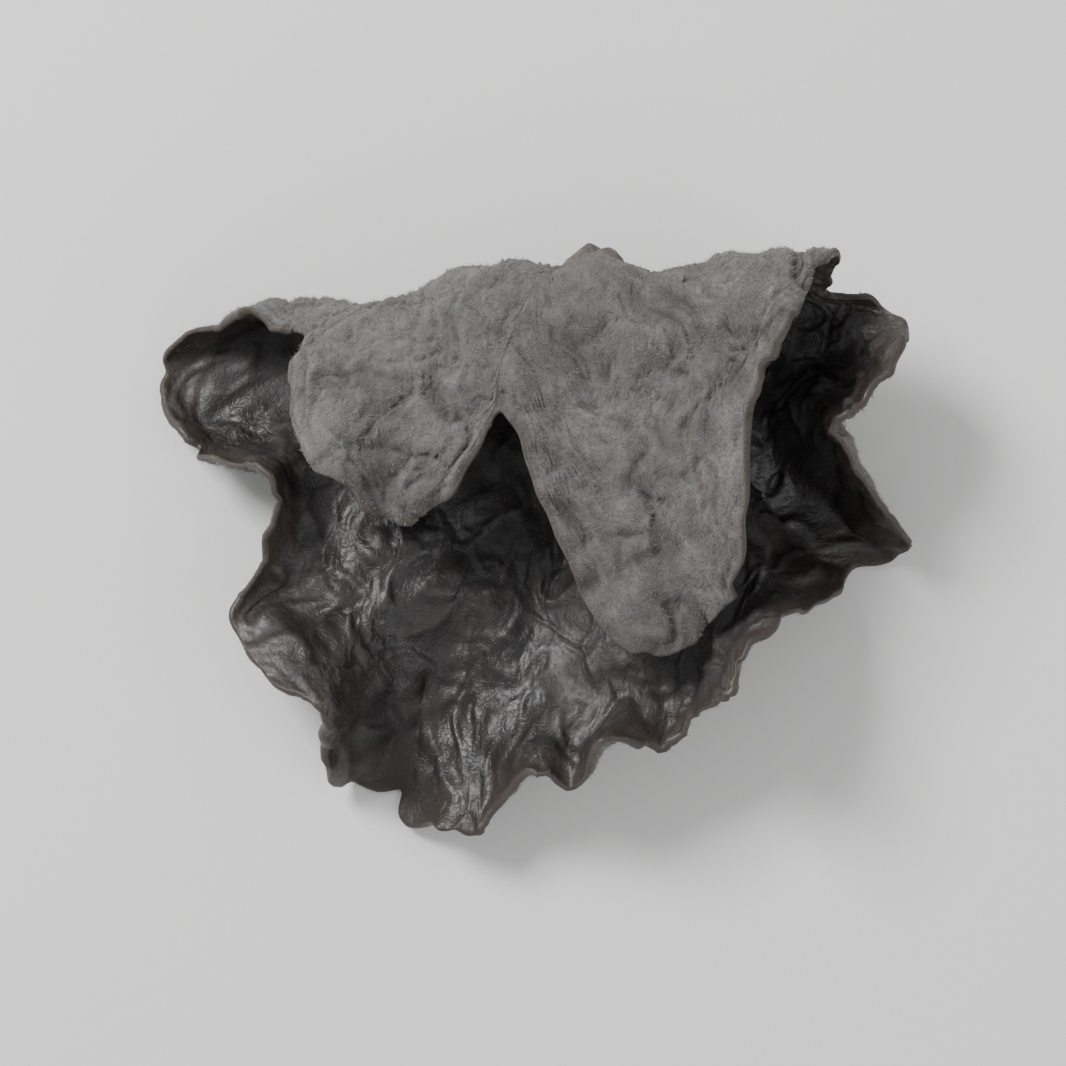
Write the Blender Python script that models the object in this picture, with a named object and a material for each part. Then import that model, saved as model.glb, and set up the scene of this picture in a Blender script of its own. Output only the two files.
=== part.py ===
"""One dried wood ear, modelled as a single thin crinkled sheet.

The sheet grows out of a small stub.  At the back it is folded over forwards in two
lobes, its two ends and its front lip turn up, and its margin is pleated.  The underside
is flattened where the ear rests.  Names ending in _MM are millimetres, names ending in
_DEG are degrees, and the finished body is in metres with +Z up.
"""

import bpy
import numpy as np

PIECE_NAME = "wood_ear"
METRES_PER_MM = 0.001
FULL_TURN = 2.0 * np.pi

# The sheet before folding, seen from above: an off-centre oval around its stub.
OVAL_CENTRE_Y_MM = 5.9
OVAL_HALF_WIDTH_MM = 14.7
OVAL_HALF_LENGTH_MM = 17.4
STUB_X_MM = 1.7
STUB_Y_MM = 11.0

# Thickness of the sheet: thickest around the stub, thinnest at the margin.
THICKNESS_AT_STUB_MM = 0.95
THICKNESS_AT_MARGIN_MM = 0.55
STUB_HEIGHT_MM = 1.7
STUB_RADIUS_MM = 1.5

# Steepness of the pleats (radians of slope) from broad folds to the fine margin frill.
BROAD_FOLD_SLOPE = 0.30
PLEAT_SLOPE = 0.60
FRILL_SLOPE = 0.36

# The four turns of the sheet: total turn, and the length of sheet the turn takes.
BACK_TURN_DEG = 188.0
BACK_TURN_LENGTH_MM = 12.3
LEFT_TURN_DEG = 70.0
RIGHT_TURN_DEG = 60.0
END_TURN_LENGTH_MM = 13.4
FRONT_TURN_DEG = 42.0
FRONT_TURN_LENGTH_MM = 10.0

# Uneven shrinkage from drying.
CRUMPLE_HEIGHT_MM = 0.27
CRUMPLE_SPACING_MM = 8.4
FINE_CRUMPLE_HEIGHT_MM = 0.07
FINE_CRUMPLE_SPACING_MM = 3.4

# How the whole ear leans when it has settled on the floor.
TILT_FORWARD_DEG = 4.0
TILT_RIGHT_DEG = -5.6

# The flattened resting patches: how far above its lowest point the sheet is levelled.
LEVELLED_DEPTH_MM = 0.75
LEVEL_SOFTNESS_MM = 0.30
FLAT_TRIM_MM = 0.08

# Mesh density: rings of faces from the stub to the margin.
RINGS = 22


def soft_step(x):
    """Rise smoothly from 0 at x = 0 to 1 at x = 1."""
    x = np.clip(x, 0.0, 1.0)
    return x * x * (3.0 - 2.0 * x)


def bump(direction, centre_deg, width_deg, power=2.0):
    """One rounded bump of height 1 around a direction; a higher power squares it off."""
    gap = (direction - np.radians(centre_deg) + np.pi) % FULL_TURN - np.pi
    return np.exp(-np.abs(gap / np.radians(width_deg)) ** power)


def pleat(phase, crispness):
    """A wave between -1 and 1 whose crests grow sharper as crispness nears 1."""
    return np.arcsin(crispness * np.sin(phase)) / np.arcsin(crispness)


def margin_point(direction):
    """The edge of the unfolded sheet in each direction: an oval with lobes and nicks."""
    v = direction
    r = 1.0 + 0.03 * np.sin(2 * v + 0.6)
    r = r + 0.03 * np.sin(3 * v + 2.0)
    r = r + 0.03 * np.sin(5 * v + 0.4)
    r = r + 0.02 * np.sin(8 * v + 1.7)
    r = r + 0.012 * np.sin(13 * v + 0.3)
    # The right back lobe is a long rounded tongue and the left one is shorter and squarer.
    r = r + 0.33 * bump(v, 75.0, 19.0, 3.0)
    r = r + 0.13 * bump(v, 126.0, 19.0, 4.0)
    r = r - 0.24 * bump(v, 99.5, 7.0)
    r = r - 0.14 * bump(v, 152.0, 9.0)
    r = r - 0.12 * bump(v, 18.0, 9.0)
    r = r - 0.10 * bump(v, 205.0, 7.0)
    r = r - 0.08 * bump(v, 330.0, 6.0)
    x = OVAL_HALF_WIDTH_MM * r * np.cos(v)
    y = OVAL_CENTRE_Y_MM + OVAL_HALF_LENGTH_MM * r * np.sin(v)
    return x, y


def sheet_slope(reach, direction):
    """Slope of the sheet along a line from the stub (reach 0) to the margin (reach 1)."""
    s = reach
    v = direction
    broad = pleat(5 * v + 0.7 + 0.6 * np.sin(2 * v), 0.9)
    middle = pleat(9 * v + 2.1 + 0.8 * np.sin(3 * v + 1.0) + 0.8 * s, 0.9)
    frill = pleat(19 * v + 0.3 + 0.9 * np.sin(4 * v) + 1.0 * s, 0.75)
    slope = BROAD_FOLD_SLOPE * soft_step(s / 0.45) * broad * (0.7 + 0.3 * np.sin(v + 1.0))
    slope = slope + PLEAT_SLOPE * soft_step((s - 0.4) / 0.5) * middle * (0.65 + 0.35 * np.sin(2 * v + 2.2))
    slope = slope + FRILL_SLOPE * soft_step((s - 0.72) / 0.28) * frill * (0.55 + 0.45 * np.sin(3 * v + 0.4))
    # The folded-over back lobes dried calmer than the rest of the sheet.
    slope = slope * (1.0 - 0.65 * bump(v, 95.0, 56.0))
    slope = slope * (1.0 - 0.65 * bump(v, 153.0, 14.0))
    slope = slope * (1.0 - 0.55 * bump(v, 12.0, 14.0))
    slope = slope * (1.0 - 0.40 * bump(v, 258.0, 8.0))
    slope = slope * (1.0 - 0.40 * bump(v, 317.0, 8.0))
    curl = 0.7 * bump(v, 290.0, 30.0)
    curl = curl + 0.5 * bump(v, 185.0, 20.0)
    curl = curl + 0.5 * bump(v, 345.0, 20.0)
    curl = curl - 0.5 * bump(v, 240.0, 20.0)
    curl = curl + 0.05 * bump(v, 72.0, 14.0)
    curl = curl + 0.35 * bump(v, 124.0, 14.0)
    slope = slope + curl * soft_step((s - 0.72) / 0.28)
    # Along the cleft between the lobes the sheet stays level, so its two sides only meet.
    return slope * (1.0 - bump(v, 99.5, 13.0))


def pleated_sheet(reach, direction, steps=48):
    """Walk from the stub to each point along the slope, so that pleats keep their length."""
    edge_x, edge_y = margin_point(direction)
    dx = edge_x - STUB_X_MM
    dy = edge_y - STUB_Y_MM
    length = np.hypot(dx, dy)
    part = (np.arange(steps) + 0.5) / steps
    slope = sheet_slope(reach[..., None] * part, direction[..., None])
    along = reach * length * np.cos(slope).mean(-1)
    height = reach * length * np.sin(slope).mean(-1)
    x = STUB_X_MM + along * dx / length
    y = STUB_Y_MM + along * dy / length
    return np.stack([x, y, height], -1)


def turn_angle(distance, across, total_deg, length_mm, grow, widen, ease=0.3):
    """Angle turned after a distance past the fold line, easing in and out."""
    total = np.radians(total_deg) * (1.0 + grow * across / 12.6)
    x = np.clip(distance / (length_mm * (1.0 + widen * across / 12.6)), 0.0, 1.0)
    rate = 1.0 / (1.0 - ease)
    start = rate * x * x / (2.0 * ease)
    middle = rate * (x - ease / 2.0)
    end = 1.0 - rate * (1.0 - x) ** 2 / (2.0 * ease)
    return total * np.where(x < ease, start, np.where(x < 1.0 - ease, middle, end))


def turn_up(points, line_x, line_y, heading_deg, total_deg, length_mm, grow=0.0, widen=0.0):
    """Roll everything beyond a line upwards without stretching the sheet."""
    a = np.radians(heading_deg)
    ahead = np.array([np.cos(a), np.sin(a), 0.0])
    aside = np.array([-np.sin(a), np.cos(a), 0.0])
    start = np.array([line_x, line_y, 0.0])
    d = (points - start) @ ahead
    t = (points - start) @ aside
    z = points[..., 2]
    beyond = np.clip(d, 0.0, None)
    part = (np.arange(28) + 0.5) / 28
    angles = turn_angle(beyond[..., None] * part, t[..., None], total_deg, length_mm, grow, widen)
    x = beyond * np.cos(angles).mean(-1)
    rise = beyond * np.sin(angles).mean(-1)
    final = turn_angle(beyond, t, total_deg, length_mm, grow, widen)
    new_d = np.where(d > 0.0, x - z * np.sin(final), d)
    new_z = np.where(d > 0.0, rise + z * np.cos(final), z)
    up = np.array([0.0, 0.0, 1.0])
    return start + new_d[..., None] * ahead + t[..., None] * aside + new_z[..., None] * up


def soft_noise(points, spacing_mm, seed, waves=20):
    """A smooth seeded random field: a sum of plane waves in random directions."""
    rng = np.random.default_rng(seed)
    heading = rng.normal(size=(waves, 3))
    heading = heading / np.linalg.norm(heading, axis=1, keepdims=True)
    heading = heading * (FULL_TURN / spacing_mm) * rng.uniform(0.7, 1.4, (waves, 1))
    phase = rng.uniform(0.0, FULL_TURN, waves)
    return np.sin(points @ heading.T + phase).sum(-1) / np.sqrt(waves / 2)


def crumple(points, height_mm, spacing_mm, seed):
    """Shift every point by three smooth random fields."""
    shift = [soft_noise(points, spacing_mm, seed + axis) for axis in range(3)]
    return points + height_mm * np.stack(shift, -1)


def tilt(points, forward_deg, right_deg):
    """Turn the whole ear so that it settles on its resting patches."""
    a = np.radians(forward_deg)
    b = np.radians(right_deg)
    forward = np.array([[1.0, 0.0, 0.0], [0.0, np.cos(a), np.sin(a)], [0.0, -np.sin(a), np.cos(a)]])
    right = np.array([[np.cos(b), 0.0, np.sin(b)], [0.0, 1.0, 0.0], [-np.sin(b), 0.0, np.cos(b)]])
    return points @ (right @ forward).T


def middle_surface(reach, direction):
    """The middle of the sheet, pleated, turned up on four sides, crumpled and levelled."""
    p = pleated_sheet(reach, direction)
    p = turn_up(p, 0.0, 5.9, 94.0, BACK_TURN_DEG, BACK_TURN_LENGTH_MM, 0.06, 0.10)
    p = turn_up(p, -5.0, 0.0, 188.0, LEFT_TURN_DEG, END_TURN_LENGTH_MM, 0.15)
    p = turn_up(p, 5.5, 0.0, -12.0, RIGHT_TURN_DEG, END_TURN_LENGTH_MM, -0.15)
    p = turn_up(p, 0.0, -4.6, 268.0, FRONT_TURN_DEG, FRONT_TURN_LENGTH_MM)
    p = crumple(p, CRUMPLE_HEIGHT_MM, CRUMPLE_SPACING_MM, 11)
    p = crumple(p, FINE_CRUMPLE_HEIGHT_MM, FINE_CRUMPLE_SPACING_MM, 21)
    return tilt(p, TILT_FORWARD_DEG, TILT_RIGHT_DEG)


def disc_grid(rings):
    """A square grid bent into a disc: the reach and direction of every grid point."""
    line = np.arange(-rings, rings + 1) / rings
    x, y = np.meshgrid(line, line, indexing="ij")
    reach = np.maximum(np.abs(x), np.abs(y))
    wide = np.abs(x) >= np.abs(y)
    safe_x = np.where(x == 0.0, 1.0, x)
    safe_y = np.where(y == 0.0, 1.0, y)
    wide_direction = np.pi / 4 * y / safe_x + np.where(x < 0.0, np.pi, 0.0)
    tall_direction = np.pi / 2 - np.pi / 4 * x / safe_y + np.where(y < 0.0, np.pi, 0.0)
    return reach, np.where(wide, wide_direction, tall_direction)


def border_order(rings):
    """Grid positions around the border of the square, anticlockwise, each once."""
    n = 2 * rings
    steps = np.arange(n)
    i = np.concatenate([n - 0 * steps, n - steps, 0 * steps, steps])
    j = np.concatenate([steps, n - 0 * steps, n - steps, 0 * steps])
    return i, j


def half_thickness(reach):
    """Half the thickness of the sheet, thinning from the stub to the margin."""
    full = THICKNESS_AT_STUB_MM + (THICKNESS_AT_MARGIN_MM - THICKNESS_AT_STUB_MM) * soft_step(reach)
    return 0.5 * full


def settled_surface(reach, direction, floor):
    """The middle of the sheet, levelled softly where the outer skin would pass the floor."""
    p = middle_surface(reach, direction)
    lowest = floor + half_thickness(reach) - FLAT_TRIM_MM
    above = p[..., 2] - lowest
    p[..., 2] = lowest + 0.5 * (above + np.sqrt(above ** 2 + LEVEL_SOFTNESS_MM ** 2))
    return p


def surface_normals(reach, direction, floor, step=0.004):
    """Unit normals from four neighbours a small step away, on the inner side of the sheet."""
    a = reach * np.cos(direction)
    b = reach * np.sin(direction)
    sides = []
    for da, db in ((step, 0.0), (-step, 0.0), (0.0, step), (0.0, -step)):
        near_reach = np.hypot(a + da, b + db)
        near_direction = np.arctan2(b + db, a + da)
        sides.append(settled_surface(near_reach, near_direction, floor))
    normal = np.cross(sides[0] - sides[1], sides[2] - sides[3])
    return normal / np.linalg.norm(normal, axis=-1, keepdims=True)


def ear_skins(rings):
    """The inner skin, the outer skin and the rounded rim between them, in millimetres."""
    reach, direction = disc_grid(rings)
    probe_reach, probe_direction = disc_grid(40)
    underside = middle_surface(probe_reach, probe_direction)[..., 2] - half_thickness(probe_reach)
    floor = underside.min() + LEVELLED_DEPTH_MM
    middle = settled_surface(reach, direction, floor)
    normal = surface_normals(reach, direction, floor)
    half = half_thickness(reach)[..., None]
    inner = middle + normal * half
    outer = middle - normal * half
    centre = middle[rings, rings]
    from_stub = np.linalg.norm(middle - centre, axis=-1)
    stub = STUB_HEIGHT_MM * np.exp(-(from_stub / STUB_RADIUS_MM) ** 4)
    outer = outer - stub[..., None] * normal[rings, rings]
    inner[..., 2] = np.maximum(inner[..., 2], floor + 0.02)
    outer[..., 2] = np.maximum(outer[..., 2], floor)
    i, j = border_order(rings)
    edge = middle[i, j]
    inward = middle[np.clip(i, 1, 2 * rings - 1), np.clip(j, 1, 2 * rings - 1)]
    outward = edge - inward
    outward = outward - (outward * normal[i, j]).sum(-1, keepdims=True) * normal[i, j]
    outward = outward / np.linalg.norm(outward, axis=-1, keepdims=True)
    rim = edge + outward * 0.5 * THICKNESS_AT_MARGIN_MM
    rim[..., 2] = np.maximum(rim[..., 2], floor + 0.01)
    return inner, outer, rim


def ear_body(rings):
    """One closed body: both skins joined around the margin by the rim."""
    inner, outer, rim = ear_skins(rings)
    size = 2 * rings + 1
    count = size * size
    number = np.arange(count).reshape(size, size)
    quads = np.stack([number[:-1, :-1], number[1:, :-1], number[1:, 1:], number[:-1, 1:]], -1)
    quads = quads.reshape(-1, 4)
    i, j = border_order(rings)
    inner_edge = number[i, j]
    outer_edge = inner_edge + count
    rim_edge = 2 * count + np.arange(len(i))
    step = np.roll(np.arange(len(i)), -1)
    upper = np.stack([inner_edge, rim_edge, rim_edge[step], inner_edge[step]], -1)
    lower = np.stack([rim_edge, outer_edge, outer_edge[step], rim_edge[step]], -1)
    faces = np.concatenate([quads, quads[:, ::-1] + count, upper, lower])
    points = np.concatenate([inner.reshape(-1, 3), outer.reshape(-1, 3), rim])
    low = points.min(axis=0)
    high = points.max(axis=0)
    points = points - np.array([(low[0] + high[0]) / 2, (low[1] + high[1]) / 2, low[2]])
    return points * METRES_PER_MM, faces


def ear_material():
    """Dried, leathery, nearly black brown."""
    material = bpy.data.materials.new(PIECE_NAME)
    material.use_nodes = True
    shader = material.node_tree.nodes["Principled BSDF"]
    shader.inputs["Base Color"].default_value = (0.085, 0.078, 0.075, 1.0)
    shader.inputs["Roughness"].default_value = 0.62
    shader.inputs["Metallic"].default_value = 0.0
    return material


def build():
    """Clear the scene and add the wood ear."""
    for old in list(bpy.data.objects):
        bpy.data.objects.remove(old)
    points, faces = ear_body(RINGS)
    mesh = bpy.data.meshes.new(PIECE_NAME)
    mesh.from_pydata(points.tolist(), [], faces.tolist())
    mesh.update()
    mesh.polygons.foreach_set("use_smooth", [True] * len(mesh.polygons))
    mesh.materials.append(ear_material())
    ear = bpy.data.objects.new(PIECE_NAME, mesh)
    bpy.context.scene.collection.objects.link(ear)


build()
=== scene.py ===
"""Looks for one dried wood ear: a thin pleated fruit body, folded over at the back in two lobes.

The ear is one closed sheet. Its inner face is nearly black and satin, its outer face is
grey and covered in very short down, and a torn stub marks where it grew on wood.
Lengths ending in _MM are millimetres in the ear's own shape functions; everything put
into the scene is in metres.
"""

import math

import bpy
import numpy as np
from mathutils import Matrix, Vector


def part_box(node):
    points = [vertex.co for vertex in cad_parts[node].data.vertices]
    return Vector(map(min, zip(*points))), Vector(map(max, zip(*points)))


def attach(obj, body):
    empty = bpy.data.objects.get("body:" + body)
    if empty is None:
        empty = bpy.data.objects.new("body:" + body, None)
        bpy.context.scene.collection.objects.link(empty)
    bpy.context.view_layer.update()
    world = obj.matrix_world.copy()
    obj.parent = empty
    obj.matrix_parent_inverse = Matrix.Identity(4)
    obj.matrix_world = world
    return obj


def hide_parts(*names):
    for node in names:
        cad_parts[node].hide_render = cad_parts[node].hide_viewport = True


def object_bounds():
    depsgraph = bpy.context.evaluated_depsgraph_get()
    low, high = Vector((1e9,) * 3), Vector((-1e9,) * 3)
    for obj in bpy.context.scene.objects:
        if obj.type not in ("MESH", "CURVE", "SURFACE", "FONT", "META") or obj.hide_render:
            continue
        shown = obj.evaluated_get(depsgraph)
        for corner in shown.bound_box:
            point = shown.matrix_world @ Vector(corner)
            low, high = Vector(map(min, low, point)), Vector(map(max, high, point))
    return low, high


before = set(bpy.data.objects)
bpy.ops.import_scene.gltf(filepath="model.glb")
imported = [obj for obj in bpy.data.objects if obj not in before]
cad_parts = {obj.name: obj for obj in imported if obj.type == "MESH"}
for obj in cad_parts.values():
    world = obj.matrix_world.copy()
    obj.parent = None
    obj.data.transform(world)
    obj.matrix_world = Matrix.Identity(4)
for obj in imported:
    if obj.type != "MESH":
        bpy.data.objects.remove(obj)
cad_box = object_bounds()

METRES_PER_MM = 0.001
FULL_TURN = 2.0 * np.pi

# The sheet before folding, as in the solid: an off-centre oval around its stub.
OVAL_CENTRE_Y_MM = 5.9
OVAL_HALF_WIDTH_MM = 14.7
OVAL_HALF_LENGTH_MM = 17.4
STUB_X_MM = 1.7
STUB_Y_MM = 11.0
THICKNESS_AT_STUB_MM = 0.95
THICKNESS_AT_MARGIN_MM = 0.55
STUB_HEIGHT_MM = 1.7
STUB_RADIUS_MM = 1.5
BROAD_FOLD_SLOPE = 0.30
PLEAT_SLOPE = 0.60
FRILL_SLOPE = 0.36
BACK_TURN_DEG = 188.0
BACK_TURN_LENGTH_MM = 12.3
LEFT_TURN_DEG = 70.0
RIGHT_TURN_DEG = 60.0
END_TURN_LENGTH_MM = 13.4
FRONT_TURN_DEG = 42.0
FRONT_TURN_LENGTH_MM = 10.0
CRUMPLE_HEIGHT_MM = 0.27
CRUMPLE_SPACING_MM = 8.4
FINE_CRUMPLE_HEIGHT_MM = 0.07
FINE_CRUMPLE_SPACING_MM = 3.4
TILT_FORWARD_DEG = 4.0
TILT_RIGHT_DEG = -5.6
LEVELLED_DEPTH_MM = 0.75
LEVEL_SOFTNESS_MM = 0.30
FLAT_TRIM_MM = 0.08
HALF_SPAN_MM = 12.6
NOTCH_DEG = 99.5
NOTCH_CALM_WIDTH_DEG = 13.0

# Margin waves: height as a share of the radius, how many go around, and phase.
MARGIN_WAVES = ((0.03, 2, 0.6), (0.03, 3, 2.0), (0.03, 5, 0.4), (0.02, 8, 1.7), (0.012, 13, 0.3))

# Lobes (plus) and notches (minus) of the margin: height, direction, width, power of the bump.
MARGIN_LOBES = (
    (0.33, 75.0, 19.0, 3.0),
    (0.13, 126.0, 19.0, 4.0),
    (-0.24, NOTCH_DEG, 7.0, 2.0),
    (-0.14, 152.0, 9.0, 2.0),
    (-0.12, 18.0, 9.0, 2.0),
    (-0.10, 205.0, 7.0, 2.0),
    (-0.08, 330.0, 6.0, 2.0),
)

# Where the pleats dried calm: direction, width, and the share of the slope that is lost.
CALM_PLACES = (
    (95.0, 56.0, 0.65),
    (153.0, 14.0, 0.65),
    (12.0, 14.0, 0.55),
    (258.0, 8.0, 0.4),
    (317.0, 8.0, 0.4),
)

# Where the margin itself curls up (plus) or down (minus): direction, width, slope.
CURLS = (
    (290.0, 30.0, 0.7),
    (185.0, 20.0, 0.5),
    (345.0, 20.0, 0.5),
    (240.0, 20.0, -0.5),
    (72.0, 14.0, 0.05),
    (124.0, 14.0, 0.35),
)

# The four turns of the sheet: a point and the heading of each fold line, the total turn and the
# length it takes, and how much the turn grows and its length widens across the sheet.
TURNS = (
    (0.0, 5.9, 94.0, BACK_TURN_DEG, BACK_TURN_LENGTH_MM, 0.06, 0.10),
    (-5.0, 0.0, 188.0, LEFT_TURN_DEG, END_TURN_LENGTH_MM, 0.15, 0.0),
    (5.5, 0.0, -12.0, RIGHT_TURN_DEG, END_TURN_LENGTH_MM, -0.15, 0.0),
    (0.0, -4.6, 268.0, FRONT_TURN_DEG, FRONT_TURN_LENGTH_MM, 0.0, 0.0),
)
TURN_EASE = 0.3

# How finely the turns and the walk from the stub are summed, and the lowest point is looked for.
TURN_STEPS = 28
WALK_STEPS = 48
PROBE_RINGS = 40

# Detail that only the looks carry.
RINGS = 105
RIM_ROWS = 5
SHRINK_HEIGHT_MM = 0.055
SHRINK_SPACING_MM = 2.0

# Height, spacing and seed of each crumpling: two that the solid has too, and the shrinkage.
CRUMPLES = (
    (CRUMPLE_HEIGHT_MM, CRUMPLE_SPACING_MM, 11),
    (FINE_CRUMPLE_HEIGHT_MM, FINE_CRUMPLE_SPACING_MM, 21),
    (SHRINK_HEIGHT_MM, SHRINK_SPACING_MM, 31),
)

# Scallops (height, how many, phase), nicks, and the relief of both faces.
SCALLOP_WAVES = ((0.007, 31, 0.3), (0.005, 47, 2.0), (0.003, 83, 1.1))
NICKS = 26
NICK_DEPTHS = (0.008, 0.040)
NICK_WIDTHS_DEG = (0.7, 1.6)
FAN_RADIUS_MM = 9.0
BUCKLE_MM = 0.26
# How much the buckles count in the rise values, which place the down and which the finishes turn
# into painted shade where low and painted highlight where high.
BUCKLE_IN_TONE = 1.2
INNER_RIDGE_MM = 0.10
OUTER_RIDGE_MM = 0.11
EDGE_RELIEF = 0.35
EDGE_RELIEF_WIDTH_MM = 0.9
SMOOTH_BY_STUB_MM = 0.8
ROUGHENING_WIDTH_MM = 1.5
MARGIN_TAPER_MM = 1.5
MARGIN_THINNING = 0.42
MARGIN_UNEVENNESS = 0.12
INNER_CLEARANCE_MM = 0.02
RIM_CLEARANCE_MM = 0.01
DARK_RIM_ROWS = 3
STREAK_STRETCH = 4.0
CREASE_LEAN = 0.35
CREASE_CELLS = 3
CREASE_ROUNDS = 80

# The down on the outer face.
DOWN_COUNT = 47000
DOWN_LENGTH_MM = 0.21
DOWN_LENGTH_SPREAD = (0.45, 1.15)
DOWN_WIDTH_MM = 0.020
DOWN_LEAN = 0.55
DOWN_LIFT = 0.6
DOWN_FLOOR_GAP_MM = 0.05
DOWN_CORNERS = 4

# The unfolded map: each face fills a half, the rim rows step outwards from the outer face.
MAP_SIZE = (0.47, 0.94)
MAP_INNER_CENTRE = (0.25, 0.5)
MAP_OUTER_CENTRE = (0.75, 0.5)
MAP_RIM_STEP = 0.0020
HAIR_MAP_CORNERS = ((0.10, 0.10), (0.90, 0.10), (0.50, 0.32), (0.50, 0.92))

# Tones of the dried flesh, as linear red, green and blue.
BLACK_SKIN = (0.011, 0.0100, 0.0100)
DARK_SKIN = (0.028, 0.0255, 0.0250)
BROWN_BLACK = (0.036, 0.030, 0.028)
EDGE_BROWN = (0.058, 0.047, 0.041)
GREY_LOW = (0.078, 0.072, 0.069)
GREY_HIGH = (0.145, 0.138, 0.134)
GREY_PALE = (0.205, 0.197, 0.191)
GREY_DUSTY = (0.240, 0.231, 0.223)
INNER_STREAK = (0.036, 0.032, 0.031)
# Painted highlight on the raised vein tops of the inner face.
VEIN_TOP_PAINTED_HIGHLIGHT = (0.060, 0.054, 0.052)
THIN_MARGIN = (0.050, 0.036, 0.029)
INNER_DUST = (0.17, 0.16, 0.155)
INNER_SPECK = (0.24, 0.23, 0.21)
OUTER_ZONE = (0.088, 0.078, 0.072)
# Painted shade in the wrinkles of the outer face.
OUTER_WRINKLE_PAINTED_SHADE = (0.046, 0.040, 0.036)
# Painted highlight on the rib tops of the outer face.
RIB_TOP_PAINTED_HIGHLIGHT = (0.25, 0.242, 0.235)
# Painted shade in the fine creases of the outer face.
OUTER_CREASE_PAINTED_SHADE = (0.065, 0.058, 0.054)
OUTER_DUST = (0.33, 0.32, 0.31)
STUB_BROWN = (0.080, 0.066, 0.055)
SCAR_DARK = (0.060, 0.047, 0.038)
SCAR_PALE = (0.175, 0.145, 0.115)
OUTER_MARGIN = (0.080, 0.067, 0.059)
DOWN_SHEEN = (0.80, 0.79, 0.78)
HAIR_LOW = (0.150, 0.143, 0.137)
HAIR_HIGH = (0.350, 0.340, 0.331)
HAIR_ZONE = (0.125, 0.114, 0.106)
# Painted shade on the down in the wrinkles.
HAIR_WRINKLE_PAINTED_SHADE = (0.066, 0.058, 0.053)
HAIR_BROWN = (0.135, 0.112, 0.095)
HAIR_TIP = (0.42, 0.41, 0.40)
FLOOR_LOW = (0.80, 0.80, 0.79)
FLOOR_HIGH = (0.84, 0.84, 0.835)

# Depth of the finest relief, which the finishes add, in metres.
INNER_BUMP_M = 0.00008
OUTER_BUMP_M = 0.00010

# The floor, lights and camera, in metres, watts and degrees.
FLOOR_HALF_WIDTH = 2.0
KEY_PLACE = (-0.14, 0.12, 0.18)
KEY_SIZE = 0.09
KEY_POWER = 0.80
FILL_PLACE = (0.17, -0.12, 0.16)
FILL_SIZE = 0.16
FILL_POWER = 0.18
ROOM_LIGHT = 0.52
LENS_MM = 110.0
CAMERA_ELEVATION_DEG = 84.0
WIDTHS_SEEN = 1.38
CAMERA_NEAR = 0.002
CAMERA_FAR = 5.0


# ------------ shape of the sheet


def soft_step(x):
    """Smooth rise: 3x^2 - 2x^3 between 0 and 1, held at 0 and 1 outside."""
    x = np.clip(x, 0.0, 1.0)
    return x * x * (3.0 - 2.0 * x)


def bump(direction, centre_deg, width_deg, power=2.0):
    """A bump around one direction: exp(-|gap / width|^power), the gap wrapped to half a turn."""
    gap = (direction - np.radians(centre_deg) + np.pi) % FULL_TURN - np.pi
    return np.exp(-np.abs(gap / np.radians(width_deg)) ** power)


def pleat(phase, crispness):
    """A crested wave: arcsin(crispness * sin(phase)) divided by its own peak."""
    return np.arcsin(crispness * np.sin(phase)) / np.arcsin(crispness)


def margin_scallops(direction):
    """Small scallops (three high waves) and narrow nicks at seeded directions around the margin."""
    v = direction
    r = 0.0
    for height, count, phase in SCALLOP_WAVES:
        r = r + height * np.sin(count * v + phase)
    rng = np.random.default_rng(5)
    places = rng.uniform(0.0, 360.0, NICKS)
    depths = rng.uniform(*NICK_DEPTHS, NICKS)
    widths = rng.uniform(*NICK_WIDTHS_DEG, NICKS)
    for place, depth, width in zip(places, depths, widths):
        r = r - depth * bump(v, place, width)
    return r


def margin_point(direction):
    """Edge of the unfolded sheet: an ellipse whose radius is 1 plus low waves, lobes, notches,
    scallops and nicks."""
    v = direction
    r = 1.0
    for height, count, phase in MARGIN_WAVES:
        r = r + height * np.sin(count * v + phase)
    for height, centre, width, power in MARGIN_LOBES:
        r = r + height * bump(v, centre, width, power)
    r = r + margin_scallops(v)
    x = OVAL_HALF_WIDTH_MM * r * np.cos(v)
    y = OVAL_CENTRE_Y_MM + OVAL_HALF_LENGTH_MM * r * np.sin(v)
    return x, y


def sheet_slope(reach, direction):
    """Slope along a line from the stub: waves of 5, 9 and 19 pleats that fade in towards the
    margin, damped where the sheet dried calm, plus curls of the margin itself."""
    s = reach
    v = direction
    broad = pleat(5 * v + 0.7 + 0.6 * np.sin(2 * v), 0.9)
    middle = pleat(9 * v + 2.1 + 0.8 * np.sin(3 * v + 1.0) + 0.8 * s, 0.9)
    frill = pleat(19 * v + 0.3 + 0.9 * np.sin(4 * v) + 1.0 * s, 0.75)
    by_margin = soft_step((s - 0.72) / 0.28)
    broad_share = 0.7 + 0.3 * np.sin(v + 1.0)
    middle_share = 0.65 + 0.35 * np.sin(2 * v + 2.2)
    frill_share = 0.55 + 0.45 * np.sin(3 * v + 0.4)
    slope = BROAD_FOLD_SLOPE * soft_step(s / 0.45) * broad * broad_share
    slope = slope + PLEAT_SLOPE * soft_step((s - 0.4) / 0.5) * middle * middle_share
    slope = slope + FRILL_SLOPE * by_margin * frill * frill_share
    for centre, width, amount in CALM_PLACES:
        slope = slope * (1.0 - amount * bump(v, centre, width))
    for centre, width, amount in CURLS:
        slope = slope + amount * bump(v, centre, width) * by_margin
    return slope * (1.0 - bump(v, NOTCH_DEG, NOTCH_CALM_WIDTH_DEG))


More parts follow.
